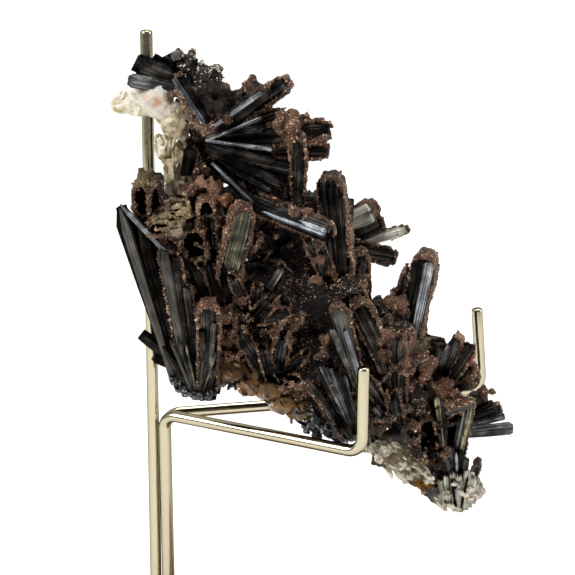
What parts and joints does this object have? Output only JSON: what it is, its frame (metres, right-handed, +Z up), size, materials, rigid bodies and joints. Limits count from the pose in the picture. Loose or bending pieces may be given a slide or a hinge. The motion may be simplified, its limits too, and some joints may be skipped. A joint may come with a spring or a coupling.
{
  "type": "mineral specimen on stand",
  "caption": "Cluster of dark striated stibnite blades with crusted rims and pale baryte, leaning on the bent arms of a wire display stand with a plain wood base.",
  "frame": {"origin": "middle of the base's flat underside", "axes": "+Z up along the tall rod, +X from the rod towards the open ends of the two arms, +Y from the short front arm towards the long back arm"},
  "size_m": [0.073, 0.044, 0.1185],
  "materials": {
    "stibnite": "lead-grey to black metallic blades with lengthwise striations and a bluish sheen",
    "crust": "sugary reddish-brown druse on dark rock, dull with small glints",
    "baryte_pale": "cream to pink, waxy and slightly see-through",
    "baryte_tan": "tan to olive, glassy and partly see-through",
    "wire": "pale champagne plated wire, smooth with soft reflections",
    "wood": "satin oiled hardwood"
  },
  "bodies": {
    "root": {"base_block": "wood", "wire_rod": "wire", "wire_front_arm": "wire", "wire_back_arm": "wire", "crown_plates": "stibnite", "crown_blade": "stibnite", "upper_fan": "stibnite", "fan_needle": "stibnite", "back_fan": "stibnite", "left_bundle": "stibnite", "left_stubs": "stibnite", "striped_blade": "stibnite", "level_blade": "stibnite", "post_blade": "stibnite", "tall_blade": "stibnite", "cavity_spray": "stibnite", "lower_spray": "stibnite", "cast_wall": "stibnite", "back_spray": "stibnite", "wing_block": "stibnite", "wing_stub": "stibnite", "wing_blade": "stibnite", "grey_blade": "stibnite", "rim_blade": "stibnite", "needle_bank": "stibnite", "skirt_stubs": "stibnite", "right_fan": "stibnite", "tail_fan": "stibnite", "tip_blades": "stibnite", "tip_cross_blade": "stibnite", "baryte_cap": "baryte_pale", "baryte_neck": "baryte_tan", "baryte_foot": "baryte_tan", "matrix_rock": "crust"}
  },
  "joints": []
}
